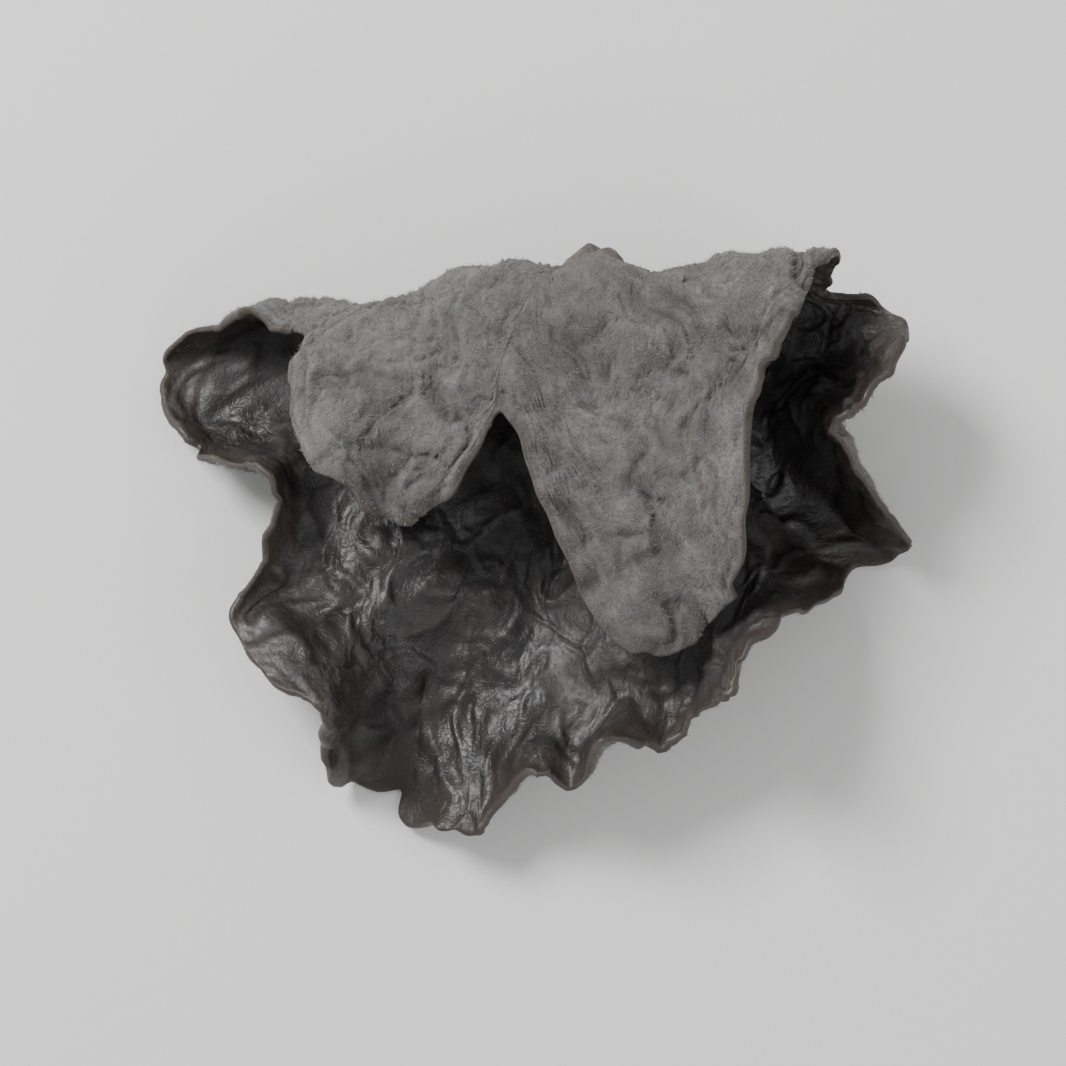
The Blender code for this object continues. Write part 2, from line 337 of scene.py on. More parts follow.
def sheet_place(reach, direction):
    """Where a point lies on the sheet laid flat: stub + reach * (edge - stub)."""
    edge_x, edge_y = margin_point(direction)
    x = STUB_X_MM + reach * (edge_x - STUB_X_MM)
    y = STUB_Y_MM + reach * (edge_y - STUB_Y_MM)
    return x, y


def pleated_sheet(reach, direction):
    """Arc-length walk from the stub: the cosine and sine of the slope, averaged over the steps
    and times the length walked, give the distance along and the height."""
    edge_x, edge_y = margin_point(direction)
    dx = edge_x - STUB_X_MM
    dy = edge_y - STUB_Y_MM
    length = np.hypot(dx, dy)
    part = (np.arange(WALK_STEPS) + 0.5) / WALK_STEPS
    slope = sheet_slope(reach[..., None] * part, direction[..., None])
    along = reach * length * np.cos(slope).mean(-1)
    height = reach * length * np.sin(slope).mean(-1)
    x = STUB_X_MM + along * dx / length
    y = STUB_Y_MM + along * dy / length
    return np.stack([x, y, height], -1)


def turn_angle(distance, across, total_deg, length_mm, grow, widen):
    """Angle turned past a fold line: eased up to the total, which grows across the sheet."""
    ease = TURN_EASE
    total = np.radians(total_deg) * (1.0 + grow * across / HALF_SPAN_MM)
    length = length_mm * (1.0 + widen * across / HALF_SPAN_MM)
    x = np.clip(distance / length, 0.0, 1.0)
    rate = 1.0 / (1.0 - ease)
    start = rate * x * x / (2.0 * ease)
    middle = rate * (x - ease / 2.0)
    end = 1.0 - rate * (1.0 - x) ** 2 / (2.0 * ease)
    return total * np.where(x < ease, start, np.where(x < 1.0 - ease, middle, end))


def turn_up(points, line_x, line_y, heading_deg, total_deg, length_mm, grow, widen):
    """Rolls what lies beyond a line upwards: the turn angle, integrated over the distance past
    the line, gives the new place, and the old height goes along the turned normal."""
    a = np.radians(heading_deg)
    ahead = np.array([np.cos(a), np.sin(a), 0.0])
    aside = np.array([-np.sin(a), np.cos(a), 0.0])
    start = np.array([line_x, line_y, 0.0])
    d = (points - start) @ ahead
    t = (points - start) @ aside
    z = points[..., 2]
    beyond = np.clip(d, 0.0, None)
    part = (np.arange(TURN_STEPS) + 0.5) / TURN_STEPS
    turn = (total_deg, length_mm, grow, widen)
    angles = turn_angle(beyond[..., None] * part, t[..., None], *turn)
    x = beyond * np.cos(angles).mean(-1)
    rise = beyond * np.sin(angles).mean(-1)
    final = turn_angle(beyond, t, *turn)
    new_d = np.where(d > 0.0, x - z * np.sin(final), d)
    new_z = np.where(d > 0.0, rise + z * np.cos(final), z)
    up = np.array([0.0, 0.0, 1.0])
    return start + new_d[..., None] * ahead + t[..., None] * aside + new_z[..., None] * up


def soft_noise(points, spacing, seed, waves=20):
    """Smooth seeded noise: plane waves in random directions, added and scaled to about -1..1."""
    rng = np.random.default_rng(seed)
    heading = rng.normal(size=(waves, points.shape[-1]))
    heading = heading / np.linalg.norm(heading, axis=1, keepdims=True)
    heading = heading * (FULL_TURN / spacing) * rng.uniform(0.7, 1.4, (waves, 1))
    phase = rng.uniform(0.0, FULL_TURN, waves)
    return np.sin(points @ heading.T + phase).sum(-1) / np.sqrt(waves / 2)


def crumple(points, height, spacing, seed):
    """Moves every point by three smooth noises, one along each axis."""
    shift = [soft_noise(points, spacing, seed + axis) for axis in range(3)]
    return points + height * np.stack(shift, -1)


def tilt(points, forward_deg, right_deg):
    """Turns the ear about X and then about Y, so that it sits on its resting patches."""
    a = np.radians(forward_deg)
    b = np.radians(right_deg)
    ca, sa, cb, sb = np.cos(a), np.sin(a), np.cos(b), np.sin(b)
    forward = np.array([[1.0, 0.0, 0.0], [0.0, ca, sa], [0.0, -sa, ca]])
    right = np.array([[cb, 0.0, sb], [0.0, 1.0, 0.0], [-sb, 0.0, cb]])
    return points @ (right @ forward).T


def middle_surface(reach, direction):
    """The middle of the sheet: pleated, rolled up on four sides, crumpled and tilted."""
    p = pleated_sheet(reach, direction)
    for turn in TURNS:
        p = turn_up(p, *turn)
    for height, spacing, seed in CRUMPLES:
        p = crumple(p, height, spacing, seed)
    return tilt(p, TILT_FORWARD_DEG, TILT_RIGHT_DEG)


def half_thickness(reach):
    """Half the sheet's thickness, thinning from stub to margin."""
    change = THICKNESS_AT_MARGIN_MM - THICKNESS_AT_STUB_MM
    return 0.5 * (THICKNESS_AT_STUB_MM + change * soft_step(reach))


def settled_surface(reach, direction, floor):
    """The middle surface, levelled by a soft maximum where its outer face would pass the floor."""
    p = middle_surface(reach, direction)
    lowest = floor + half_thickness(reach) - FLAT_TRIM_MM
    above = p[..., 2] - lowest
    p[..., 2] = lowest + 0.5 * (above + np.sqrt(above ** 2 + LEVEL_SOFTNESS_MM ** 2))
    return p


def resting_height():
    """Height at which the underside is levelled: a little above its lowest point."""
    reach, direction = disc_grid(PROBE_RINGS)
    underside = middle_surface(reach, direction)[..., 2] - half_thickness(reach)
    return underside.min() + LEVELLED_DEPTH_MM


def surface_normals(reach, direction, floor, step=0.002):
    """Unit normals: the cross product of two central differences, a small step each way."""
    a = reach * np.cos(direction)
    b = reach * np.sin(direction)
    sides = []
    for da, db in ((step, 0.0), (-step, 0.0), (0.0, step), (0.0, -step)):
        near_reach = np.hypot(a + da, b + db)
        near_direction = np.arctan2(b + db, a + da)
        sides.append(settled_surface(near_reach, near_direction, floor))
    normal = np.cross(sides[0] - sides[1], sides[2] - sides[3])
    return normal / np.linalg.norm(normal, axis=-1, keepdims=True)


def disc_grid(rings):
    """A square grid bent into a disc: reach is the larger of |x| and |y|, and the direction
    turns evenly along each square ring."""
    line = np.arange(-rings, rings + 1) / rings
    x, y = np.meshgrid(line, line, indexing="ij")
    reach = np.maximum(np.abs(x), np.abs(y))
    safe_x = np.where(x == 0.0, 1.0, x)
    safe_y = np.where(y == 0.0, 1.0, y)
    wide = np.pi / 4 * y / safe_x + np.where(x < 0.0, np.pi, 0.0)
    tall = np.pi / 2 - np.pi / 4 * x / safe_y + np.where(y < 0.0, np.pi, 0.0)
    return reach, np.where(np.abs(x) >= np.abs(y), wide, tall)


def border_order(rings):
    """Grid positions around the border of the square, each once."""
    n = 2 * rings
    steps = np.arange(n)
    i = np.concatenate([n - 0 * steps, n - steps, 0 * steps, steps])
    j = np.concatenate([steps, n - 0 * steps, n - steps, 0 * steps])
    return i, j


# ------------ fine relief of the faces


def ridged(points, spacing, seed, sharpness):
    """Thin raised ridges where smooth noise crosses zero: (1 - |noise|) to a power, 0 to 1."""
    n = np.abs(soft_noise(points, spacing, seed, 24))
    return np.clip(1.0 - n, 0.0, 1.0) ** sharpness


def radial_place(sheet_x, sheet_y, stretch):
    """Sheet coordinates for patterns that run outwards: a point on a circle at the same angle
    from the stub, and the distance from the stub divided by a stretch."""
    dx = sheet_x - STUB_X_MM
    dy = sheet_y - STUB_Y_MM
    far = np.hypot(dx, dy)
    angle = np.arctan2(dy, dx)
    x = FAN_RADIUS_MM * np.cos(angle)
    y = FAN_RADIUS_MM * np.sin(angle)
    return np.stack([x, y, far / stretch], -1)


def wandering(sheet_x, sheet_y, shift_mm, spacing, seed):
    """Sheet coordinates moved by two smooth noises, so that what is drawn on them wanders."""
    flat = np.stack([sheet_x, sheet_y], -1)
    shift = [soft_noise(flat, spacing, seed + axis) for axis in range(2)]
    return flat, flat + shift_mm * np.stack(shift, -1)


def from_stub_flat(sheet_x, sheet_y):
    """Distance from the stub on the sheet laid flat."""
    return np.hypot(sheet_x - STUB_X_MM, sheet_y - STUB_Y_MM)


def buckle(sheet_x, sheet_y):
    """Sharp buckles that both faces share: ridges that fan out from the stub, a wandering net,
    and tight puckers around the stub, each a ridged noise on the sheet laid flat."""
    flat, bent = wandering(sheet_x, sheet_y, 0.8, 4.0, 71)
    far = from_stub_flat(sheet_x, sheet_y)
    fan = ridged(radial_place(bent[..., 0], bent[..., 1], 3.2), 2.9, 73, 2.6)
    net = ridged(bent, 4.2, 74, 2.4)
    patch = 0.5 + 0.5 * np.clip(soft_noise(flat, 7.0, 76), -1.0, 1.0)
    tight = ridged(bent, 2.1, 75, 3.0) * patch
    pucker = ridged(radial_place(bent[..., 0], bent[..., 1], 6.0), 1.7, 77, 2.0)
    pucker = pucker * np.exp(-(far / 6.0) ** 2)
    outward = soft_step((far - 2.0) / 6.0)
    return 0.75 * fan * outward + 0.6 * net - 0.45 * tight + 0.5 * pucker - 0.35


def inner_relief(sheet_x, sheet_y):
    """Inner face: a net of low veins and finer wandering creases that come and go in patches."""
    flat, bent = wandering(sheet_x, sheet_y, 0.4, 2.2, 41)
    patch = 0.5 + 0.5 * np.clip(1.2 * soft_noise(flat, 6.0, 45), -1.0, 1.0)
    veins = ridged(bent, 1.9, 43, 4.0) * (0.4 + 0.6 * patch)
    creases = ridged(bent, 0.95, 44, 3.0) * (1.0 - 0.6 * patch)
    ribs = ridged(radial_place(bent[..., 0], bent[..., 1], 4.0), 1.4, 46, 3.0)
    outward = soft_step((from_stub_flat(sheet_x, sheet_y) - 4.0) / 9.0)
    return 0.8 * veins - 0.6 * creases + 0.6 * ribs * outward - 0.2


def outer_relief(sheet_x, sheet_y):
    """Outer face: ribs that fan out from the stub, crossed by finer shrinkage wrinkles."""
    _, bent = wandering(sheet_x, sheet_y, 0.35, 2.4, 51)
    fan = ridged(radial_place(bent[..., 0], bent[..., 1], 5.0), 1.3, 53, 2.5)
    net = ridged(bent, 1.5, 54, 3.0)
    fine = ridged(bent, 0.75, 55, 3.0)
    outward = soft_step((from_stub_flat(sheet_x, sheet_y) - 1.5) / 5.0)
    return 0.9 * fan * outward + 0.7 * net - 0.45 * fine - 0.4


def torn_stub(from_stub, middle):
    """The stub: a flat-topped bump exp(-(distance / radius)^4), its top broken by small noise."""
    top = np.exp(-(from_stub / STUB_RADIUS_MM) ** 4)
    torn = 0.9 + 0.1 * soft_noise(middle, 0.9, 61) * soft_step(top)
    return STUB_HEIGHT_MM * top * np.clip(torn, 0.6, 1.0)


def skin_thinning(from_margin, sheet_x, sheet_y):
    """How much of the half thickness is left: it drops smoothly to a thin, uneven edge."""
    flat = np.stack([sheet_x, sheet_y], -1)
    uneven = MARGIN_UNEVENNESS * np.clip(soft_noise(flat, 3.0, 81), -1.5, 1.5)
    edge = 1.0 - MARGIN_THINNING + uneven
    return edge + (1.0 - edge) * soft_step(from_margin / MARGIN_TAPER_MM)


def grid_normals(face):
    """Unit normals of a grid of points: the cross product of its differences along and across."""
    normal = np.cross(np.gradient(face, axis=0), np.gradient(face, axis=1))
    return normal / np.linalg.norm(normal, axis=-1, keepdims=True)


def widened(mask, cells):
    """Widens a mask: the largest value found within some cells each way."""
    size = len(mask)
    padded = np.pad(mask, cells)
    shifts = range(2 * cells + 1)
    return np.max([padded[i : i + size, j : j + size] for i in shifts for j in shifts], axis=0)


def opened_creases(face, middle):
    """Opens creases so tight that a face would fold over itself: where its normal turns too far
    from the middle's normal, and just around, points move towards the mean of their four
    neighbours, and this is repeated. A missing neighbour at the border is the point itself."""
    reference = grid_normals(middle)
    for _ in range(CREASE_ROUNDS):
        lean = (grid_normals(face) * reference).sum(-1)
        move = widened((lean < CREASE_LEAN).astype(float), CREASE_CELLS)
        padded = np.pad(face, ((1, 1), (1, 1), (0, 0)), mode="edge")
        around = padded[:-2, 1:-1] + padded[2:, 1:-1] + padded[1:-1, :-2] + padded[1:-1, 2:]
        face = face + 0.5 * move[..., None] * (0.25 * around - face)
    return face


def rounded_rim(inner_edge, outer_edge, outward):
    """Half ellipses from the inner to the outer edge: centre + cos(angle) * half gap, plus
    sin(angle) * outward * the length of half the gap."""
    angle = np.pi * (np.arange(RIM_ROWS) + 1.0) / (RIM_ROWS + 1.0)
    centre = 0.5 * (inner_edge + outer_edge)
    half_gap = 0.5 * (inner_edge - outer_edge)
    bulge = np.linalg.norm(half_gap, axis=-1, keepdims=True)
    across = np.cos(angle)[:, None, None] * half_gap
    out = np.sin(angle)[:, None, None] * bulge * outward
    return centre + across + out, 0.5 + 0.5 * np.cos(angle)


def edge_outward(middle, normal, i, j):
    """Unit directions that leave the sheet at its border: from the next point inside to the
    border, with the part along the normal taken away."""
    last = len(middle) - 2
    outward = middle[i, j] - middle[np.clip(i, 1, last), np.clip(j, 1, last)]
    outward = outward - (outward * normal[i, j]).sum(-1, keepdims=True) * normal[i, j]
    return outward / np.linalg.norm(outward, axis=-1, keepdims=True)


def ear_faces():
    """Points and surface values of the inner face, the outer face and the rounded rim."""
    reach, direction = disc_grid(RINGS)
    floor = resting_height()
    middle = settled_surface(reach, direction, floor)
    normal = surface_normals(reach, direction, floor)
    sheet_x, sheet_y = sheet_place(reach, direction)
    edge_x, edge_y = sheet_place(np.ones_like(reach), direction)
    from_margin = np.hypot(edge_x - sheet_x, edge_y - sheet_y)
    from_stub = np.linalg.norm(middle - middle[RINGS, RINGS], axis=-1)
    half = half_thickness(reach) * skin_thinning(from_margin, sheet_x, sheet_y)
    near_edge = EDGE_RELIEF + (1.0 - EDGE_RELIEF) * soft_step(from_margin / EDGE_RELIEF_WIDTH_MM)
    off_stub = soft_step((from_stub - SMOOTH_BY_STUB_MM) / ROUGHENING_WIDTH_MM)
    shared = BUCKLE_MM * buckle(sheet_x, sheet_y) * off_stub
    fold = shared / BUCKLE_MM
    inner_rise = inner_relief(sheet_x, sheet_y) * near_edge
    outer_rise = outer_relief(sheet_x, sheet_y) * near_edge * off_stub
    inner = middle + normal * (half + shared + INNER_RIDGE_MM * inner_rise)[..., None]
    outer = middle - normal * (half - shared + OUTER_RIDGE_MM * outer_rise)[..., None]
    inner = opened_creases(inner, middle)
    outer = opened_creases(outer, middle)
    outer = outer - torn_stub(from_stub, middle)[..., None] * normal[RINGS, RINGS]
    i, j = border_order(RINGS)
    inner[..., 2] = np.maximum(inner[..., 2], floor + INNER_CLEARANCE_MM)
    outer[..., 2] = np.maximum(outer[..., 2], floor)
    rim, rim_side = rounded_rim(inner[i, j], outer[i, j], edge_outward(middle, normal, i, j))
    rim[..., 2] = np.maximum(rim[..., 2], floor + RIM_CLEARANCE_MM)
    # The rise values carry the relief, buckles weighted; the finishes paint shade where they are
    # low and highlight where they are high.
    toned = BUCKLE_IN_TONE * fold
    rim_side = np.repeat(rim_side, len(i)).reshape(RIM_ROWS, -1)
    values = {
        "side": (np.ones_like(reach), np.zeros_like(reach), rim_side),
        "from_margin": (from_margin, from_margin, np.zeros_like(rim_side)),
        "from_stub": (from_stub, from_stub, np.tile(from_stub[i, j], RIM_ROWS)),
        "rise": (inner_rise + toned, outer_rise - toned, np.tile(0.5 * fold[i, j], RIM_ROWS)),
    }
    for name, parts in values.items():
        values[name] = np.concatenate([part.ravel() for part in parts])
    place = np.stack([sheet_x, sheet_y], -1)
    return inner, outer, rim, place, values


def grid_quads(size):
    """Vertex numbers of the faces of a size by size grid, and of the grid itself."""
    n = np.arange(size * size).reshape(size, size)
    return np.stack([n[:-1, :-1], n[1:, :-1], n[1:, 1:], n[:-1, 1:]], -1).reshape(-1, 4), n


def row_band(rows):
    """Faces between closed rows of numbers or places, each row joined to the next."""
    turned = np.roll(rows, -1, axis=1)
    return np.stack([rows[:-1], rows[1:], turned[1:], turned[:-1]], 2)


def in_the_box(points):
    """Puts points in millimetres into the solid's box, in metres: centred, and at its bottom."""
    low = points.min(axis=0)
    high = points.max(axis=0)
    box_low, box_high = (np.array(corner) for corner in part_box("wood_ear"))
    centre = 0.5 * (box_low + box_high)
    shift = np.array([centre[0], centre[1], box_low[2]])
    base = np.array([(low[0] + high[0]) / 2, (low[1] + high[1]) / 2, low[2]])
    return (points - base) * METRES_PER_MM + shift


def store(mesh, name, numbers):
    """Stores one number, or one vector, per point of the mesh."""
    kind, field = ("FLOAT", "value") if numbers.ndim == 1 else ("FLOAT_VECTOR", "vector")
    layer = mesh.attributes.new(name, kind, "POINT")
    layer.data.foreach_set(field, numbers.astype(np.float32).ravel())


def ear_mesh():
    """One closed mesh: both faces, and rim rows that join them from the inner to the outer edge."""
    inner, outer, rim, place, values = ear_faces()
    size = 2 * RINGS + 1
    count = size * size
    quads, number = grid_quads(size)
    i, j = border_order(RINGS)
    around = len(i)
    rows = [number[i, j]]
    rows.extend(2 * count + row * around + np.arange(around) for row in range(RIM_ROWS))
    rows.append(number[i, j] + count)
    band = row_band(np.stack(rows)).reshape(-1, 4)
    faces = np.concatenate([quads, quads[:, ::-1] + count, band])
    points = in_the_box(np.concatenate([part.reshape(-1, 3) for part in (inner, outer, rim)]))
    mesh = bpy.data.meshes.new("wood_ear_body")
    mesh.from_pydata(points.tolist(), [], faces.tolist())
    mesh.update()
    mesh.polygons.foreach_set("use_smooth", np.ones(len(faces), bool))
    slot = np.ones(len(faces), np.int32)
    slot[: len(quads)] = 0
    slot[2 * len(quads) : 2 * len(quads) + around * DARK_RIM_ROWS] = 0
    mesh.polygons.foreach_set("material_index", slot)
    for name, numbers in values.items():
        store(mesh, name, numbers)
    streak = radial_place(place[..., 0], place[..., 1], STREAK_STRETCH)
    on_face = streak.reshape(-1, 3)
    on_rim = np.tile(streak[i, j], (RIM_ROWS, 1))
    store(mesh, "fanned_out", np.concatenate([on_face, on_face, on_rim]))
    add_unfolded_map(mesh, place, quads, i, j)
    return mesh, points, faces, len(quads), values


def add_unfolded_map(mesh, place, quads, i, j):
    """UV map: the sheet laid flat twice and fitted to a half each, the inner face on the left and
    the outer face with the rim on the right; rim rows step outwards from the outer face's edge."""
    low = place.reshape(-1, 2).min(axis=0)
    high = place.reshape(-1, 2).max(axis=0)
    flat = (place - 0.5 * (low + high)) / (high - low) * np.array(MAP_SIZE)
    inner_map = (flat.reshape(-1, 2) + np.array(MAP_INNER_CENTRE))[quads]
    outer_map = (flat.reshape(-1, 2) + np.array(MAP_OUTER_CENTRE))[quads[:, ::-1]]
    edge = flat[i, j]
    out = edge / np.linalg.norm(edge, axis=-1, keepdims=True)
    steps_out = range(RIM_ROWS + 1, -1, -1)
    rows = np.stack([edge + out * MAP_RIM_STEP * step for step in steps_out])
    band_map = row_band(rows + np.array(MAP_OUTER_CENTRE))
    corners = [part.reshape(-1, 2) for part in (inner_map, outer_map, band_map)]
    layer = mesh.uv_layers.new(name="OFBake")
    layer.uv.foreach_set("vector", np.concatenate(corners).astype(np.float32).ravel())


def rooted_hairs(points, faces, quad_count, values):
    """Roots, headings and lengths of the down. Each root is a random place on an outer cell,
    likelier on ribs than in wrinkles or by the stub, and leans a random way off the normal."""
    rng = np.random.default_rng(77)
    cells = faces[quad_count : 2 * quad_count]
    corner = points[cells]
    cross = np.cross(corner[:, 2] - corner[:, 0], corner[:, 3] - corner[:, 1])
    area = 0.5 * np.linalg.norm(cross, axis=-1)
    rise = values["rise"][cells[:, 0]]
    from_stub = values["from_stub"][cells[:, 0]]
    on_ribs = 0.25 + 0.75 * soft_step((rise + 1.4) / 1.8)
    off_stub = 0.05 + 0.95 * soft_step((from_stub - 1.6) / 3.0)
    chance = area * on_ribs * off_stub
    pick = rng.choice(len(cells), DOWN_COUNT, p=chance / chance.sum())
    a, b = rng.uniform(0.0, 1.0, (2, DOWN_COUNT, 1))
    c = corner[pick]
    near_side = (1 - a) * (1 - b) * c[:, 0] + a * (1 - b) * c[:, 1]
    root = near_side + a * b * c[:, 2] + (1 - a) * b * c[:, 3]
    normal = cross[pick] / np.linalg.norm(cross[pick], axis=-1, keepdims=True)
    lean = rng.normal(size=(DOWN_COUNT, 3)) * DOWN_LEAN
    heading = normal + lean - (lean * normal).sum(-1, keepdims=True) * normal * DOWN_LIFT
    heading = heading / np.linalg.norm(heading, axis=-1, keepdims=True)
    spread = rng.uniform(*DOWN_LENGTH_SPREAD, (DOWN_COUNT, 1))
    tip = root + heading * (DOWN_LENGTH_MM * METRES_PER_MM * spread)
    keep = tip[:, 2] > DOWN_FLOOR_GAP_MM * METRES_PER_MM
    return root[keep], tip[keep], heading[keep], rise[pick][keep], from_stub[pick][keep]


def down_mesh(points, faces, quad_count, values):
    """Short down on the outer face: each hair is a closed spike from three corners, sunk half a
    hair's width into the skin and a third of a turn apart, to its tip."""
    root, tip, heading, rise, from_stub = rooted_hairs(points, faces, quad_count, values)
    side = np.cross(heading, np.array([0.31, 0.52, 0.79]))
    side = side / np.linalg.norm(side, axis=-1, keepdims=True)
    other = np.cross(heading, side)
    half = 0.5 * DOWN_WIDTH_MM * METRES_PER_MM
    corners = []
    for turn in (0.0, FULL_TURN / 3, 2 * FULL_TURN / 3):
        corners.append(root - heading * half + half * (np.cos(turn) * side + np.sin(turn) * other))
    spikes = np.stack(corners + [tip], 1).reshape(-1, 3)
    first = DOWN_CORNERS * np.arange(len(root))[:, None]
    pattern = np.array([[0, 2, 1], [0, 1, 3], [1, 2, 3], [2, 0, 3]])
    triangles = (first[:, :, None] + pattern[None]).reshape(-1, 3)
    mesh = bpy.data.meshes.new("wood_ear_down")
    mesh.from_pydata(spikes.tolist(), [], triangles.tolist())
    mesh.update()
    store(mesh, "tip", np.tile([0.0, 0.0, 0.0, 1.0], len(root)))
    store(mesh, "rise", np.repeat(rise, DOWN_CORNERS))
    store(mesh, "from_stub", np.repeat(from_stub, DOWN_CORNERS))
    add_hair_map(mesh, len(root), triangles)
    return mesh


def add_hair_map(mesh, count, triangles):
    """UV map: a square grid with one cell per hair, its three root corners low and its tip high."""
    across = math.ceil(math.sqrt(count))
    number = np.arange(count)
    cell = np.stack([number % across, number // across], -1)
    spread = ((cell[:, None] + np.array(HAIR_MAP_CORNERS)[None]) / across).reshape(-1, 2)
    layer = mesh.uv_layers.new(name="OFBake")
    layer.uv.foreach_set("vector", spread[triangles.ravel()].astype(np.float32).ravel())


# ------------ finishes


def new_group(name, inputs, outputs):
    """An empty shader group with number or vector inputs and number outputs."""
    group = bpy.data.node_groups.new(name, "ShaderNodeTree")
    for label, kind, value in inputs:
        socket = group.interface.new_socket(label, in_out="INPUT", socket_type=kind)
        if value is not None:
            socket.default_value = value
    for label, kind in outputs:
        group.interface.new_socket(label, in_out="OUTPUT", socket_type=kind)
    return group, group.nodes.new("NodeGroupInput"), group.nodes.new("NodeGroupOutput")


def noise_node(tree, vector, scale, detail=3.0, roughness=0.55, warp=0.0):
    """A noise texture read at vector times scale."""
    node = tree.nodes.new("ShaderNodeTexNoise")
    tree.links.new(vector, node.inputs["Vector"])
    if isinstance(scale, (int, float)):
        node.inputs["Scale"].default_value = scale
    else:
        tree.links.new(scale, node.inputs["Scale"])
    node.inputs["Detail"].default_value = detail
    node.inputs["Roughness"].default_value = roughness
    node.inputs["Distortion"].default_value = warp
    return node.outputs["Fac"]


def math_node(tree, operation, first, second=None, clamp=False):
    """One arithmetic node; each operand is a number or a socket."""
    node = tree.nodes.new("ShaderNodeMath")
    node.operation = operation
    node.use_clamp = clamp
    for index, value in enumerate((first, second)):
        if value is None:
            continue
        if isinstance(value, (int, float)):
            node.inputs[index].default_value = value
        else:
            tree.links.new(value, node.inputs[index])
    return node.outputs[0]


def range_node(tree, value, low, high, out_low=0.0, out_high=1.0):
    """Maps low..high to out_low..out_high with a smooth step."""
    node = tree.nodes.new("ShaderNodeMapRange")
    node.interpolation_type = "SMOOTHSTEP"
    tree.links.new(value, node.inputs["Value"])
    limits = {"From Min": low, "From Max": high, "To Min": out_low, "To Max": out_high}
    for label, number in limits.items():
        node.inputs[label].default_value = number
    return node.outputs["Result"]


def mix_node(tree, factor, first, second):
    """Mixes two colours by a mask; each colour is a socket or a linear colour."""
    node = tree.nodes.new("ShaderNodeMix")
    node.data_type = "RGBA"
    tree.links.new(factor, node.inputs["Factor"])
    for label, colour in (("A", first), ("B", second)):
        socket = next(s for s in node.inputs if s.name == label and s.type == "RGBA")
        if isinstance(colour, tuple):
            socket.default_value = (*colour, 1.0)
        else:
            tree.links.new(colour, socket)
    return next(s for s in node.outputs if s.type == "RGBA")


def laid_over(tree, colour, mask, share, tone):
    """Lays a tone over a colour where a mask is, at most at the given share."""
    return mix_node(tree, math_node(tree, "MULTIPLY", mask, share), colour, tone)


def crease_lines(tree, vector, scale, width, detail=2.0, warp=0.4):
    """Thin wandering lines where a noise crosses one half: 1 on the line, 0 past the width."""
    level = noise_node(tree, vector, scale, detail, 0.5, warp)
    gap = math_node(tree, "ABSOLUTE", math_node(tree, "SUBTRACT", level, 0.5))
    return range_node(tree, gap, 0.0, width, 1.0, 0.0)


def dried_grain_group():
    """Fine shrinkage grain: wandering creases at two sizes that come and go in patches, over soft
    lumps and fibre; gives a height and a crease mask."""
    group, given, out = new_group(
        "dried_grain",
        [
            ("Vector", "NodeSocketVector", None),
            ("Scale", "NodeSocketFloat", 900.0),
            ("Fibre", "NodeSocketFloat", 0.5),
        ],
        [("Height", "NodeSocketFloat"), ("Crease", "NodeSocketFloat")],
    )
    vector = given.outputs["Vector"]
    scale = given.outputs["Scale"]
    double = math_node(group, "MULTIPLY", scale, 2.3)
    broad = math_node(group, "MULTIPLY", scale, 0.3)
    patches = range_node(group, noise_node(group, vector, broad), 0.38, 0.62)
    wide = math_node(group, "MULTIPLY", crease_lines(group, vector, scale, 0.045), patches)
    narrow = math_node(group, "MULTIPLY", crease_lines(group, vector, double, 0.06), 0.6)
    crease = math_node(group, "MAXIMUM", wide, narrow)
    lumps = noise_node(group, vector, math_node(group, "MULTIPLY", scale, 1.3), 3.0, 0.5, 0.2)
    fine = noise_node(group, vector, math_node(group, "MULTIPLY", scale, 9.0), 3.0, 0.65)
    grain = math_node(group, "MULTIPLY", fine, given.outputs["Fibre"])
    height = math_node(group, "ADD", lumps, grain)
    height = math_node(group, "SUBTRACT", height, math_node(group, "MULTIPLY", crease, 0.30))
    group.links.new(height, out.inputs["Height"])
    group.links.new(crease, out.inputs["Crease"])
    return group


def mottling_group():
    """Uneven colour: broad clouds and small blotches; gives two masks."""
    group, given, out = new_group(
        "mottling",
        [("Vector", "NodeSocketVector", None), ("Scale", "NodeSocketFloat", 160.0)],
        [("Clouds", "NodeSocketFloat"), ("Blotches", "NodeSocketFloat")],
    )
    vector = given.outputs["Vector"]
    scale = given.outputs["Scale"]
    clouds = range_node(group, noise_node(group, vector, scale, 4.0, 0.6), 0.34, 0.66)
    small = noise_node(group, vector, math_node(group, "MULTIPLY", scale, 6.0), 5.0, 0.65)
    group.links.new(clouds, out.inputs["Clouds"])
    group.links.new(range_node(group, small, 0.40, 0.66), out.inputs["Blotches"])
    return group


def streak_group():
    """Streaks that run outwards from the stub, read on the fanned-out sheet; gives one mask."""
    group, given, out = new_group(
        "outward_streaks",
        [("Vector", "NodeSocketVector", None), ("Scale", "NodeSocketFloat", 1.0)],
        [("Streak", "NodeSocketFloat")],
    )
    level = noise_node(group, given.outputs["Vector"], given.outputs["Scale"], 5.0, 0.6)
    group.links.new(range_node(group, level, 0.36, 0.66), out.inputs["Streak"])
    return group


